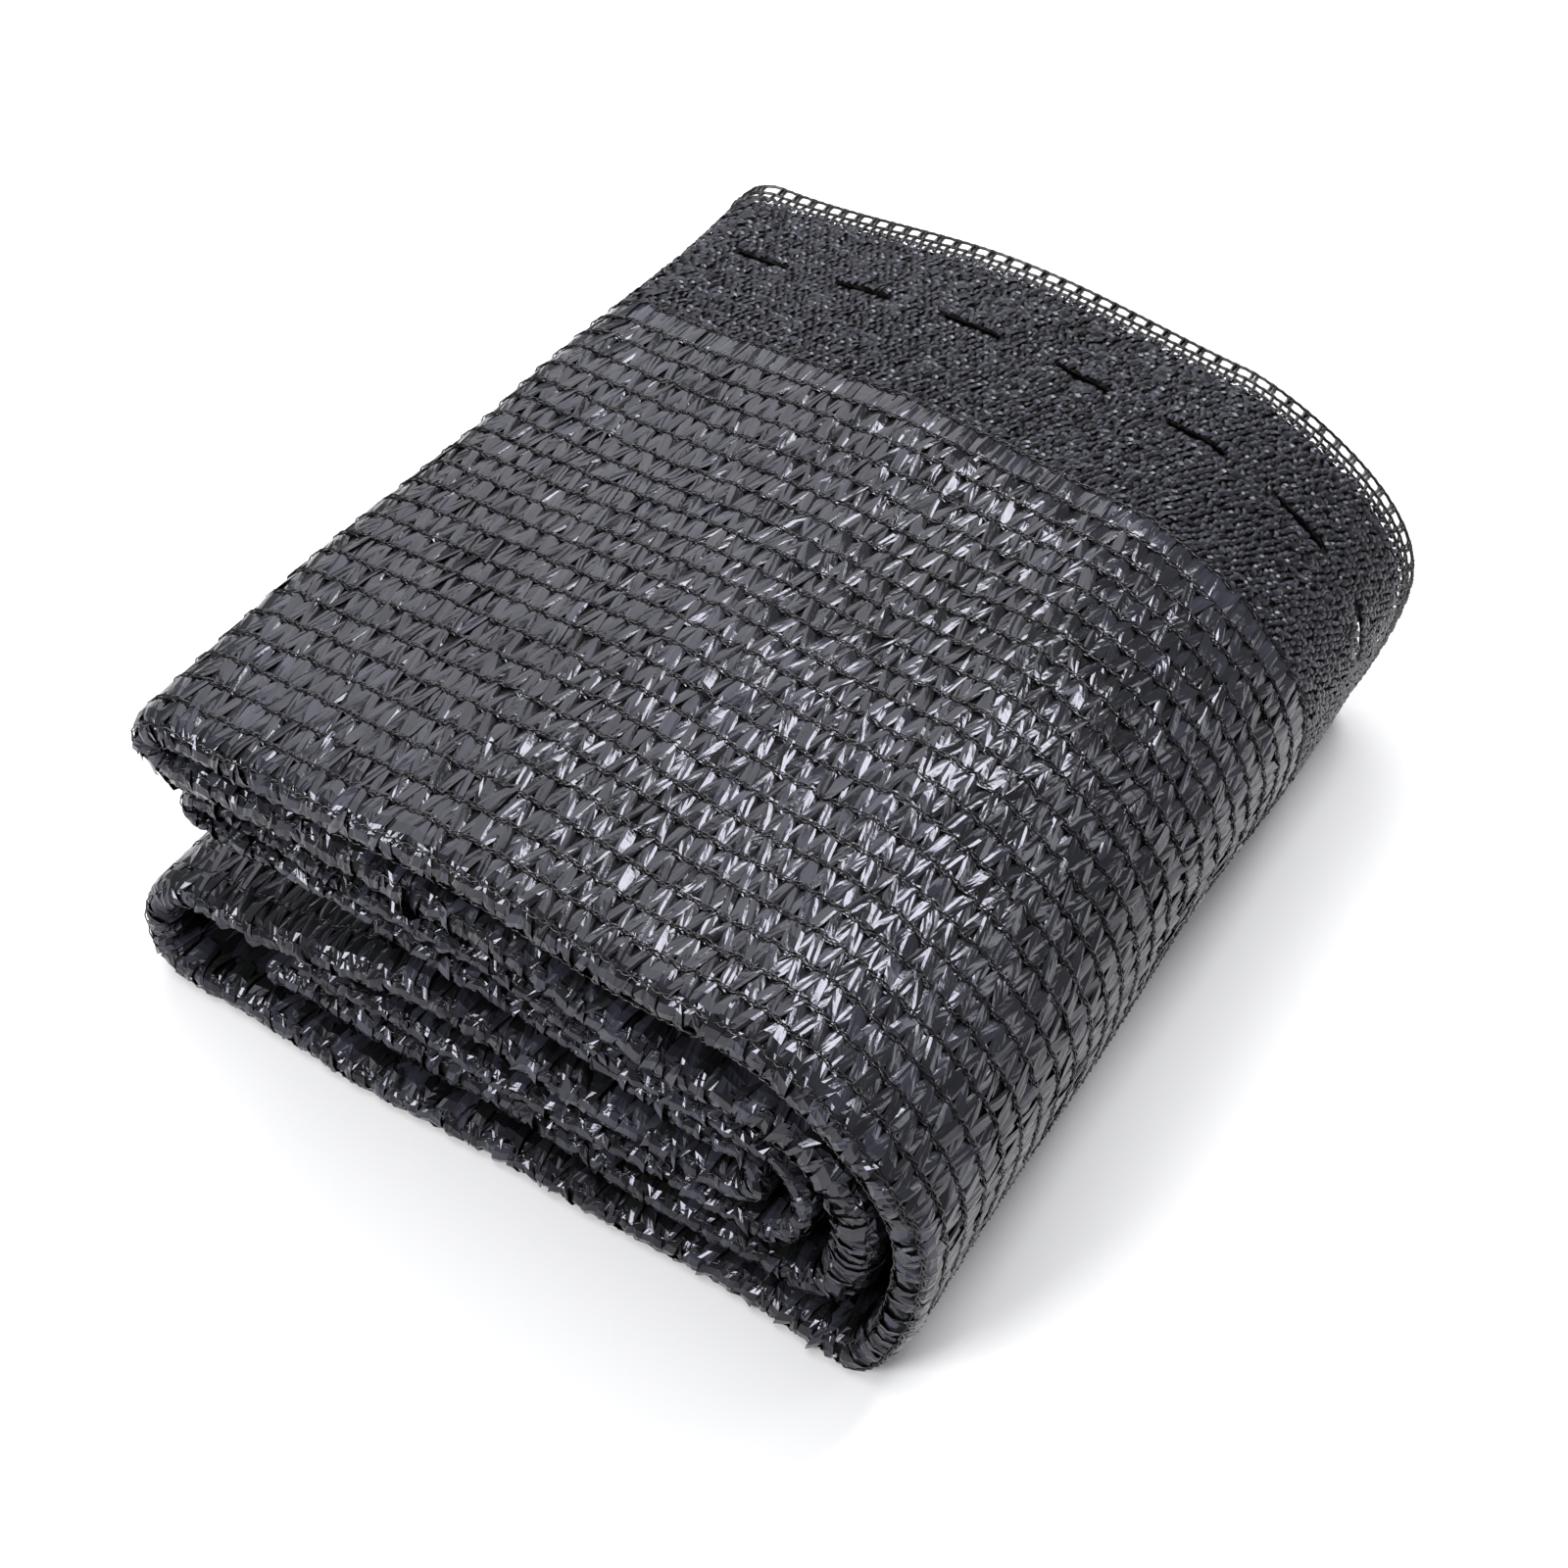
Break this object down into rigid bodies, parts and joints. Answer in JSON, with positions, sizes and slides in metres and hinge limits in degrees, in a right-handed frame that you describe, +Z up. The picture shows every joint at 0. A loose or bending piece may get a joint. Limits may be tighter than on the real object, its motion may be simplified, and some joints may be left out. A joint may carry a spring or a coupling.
{
  "type": "folded shade cloth",
  "caption": "Pack of knitted shade netting, doubled and folded back and forth into a soft rectangular stack, with a slit selvedge band at one end.",
  "frame": {"origin": "under the middle of the pack, on the surface it rests on", "axes": "+Y from the rounded front folds to the selvedge, the pack's longest side; +X from the left bights to the nested wraps on the right; +Z up, the shortest side"},
  "size_m": [0.2234, 0.2678, 0.0999],
  "materials": {
    "netting": "charcoal black knitted plastic tape netting, satin"
  },
  "bodies": {
    "root": {"shade_cloth": "netting"}
  },
  "joints": []
}
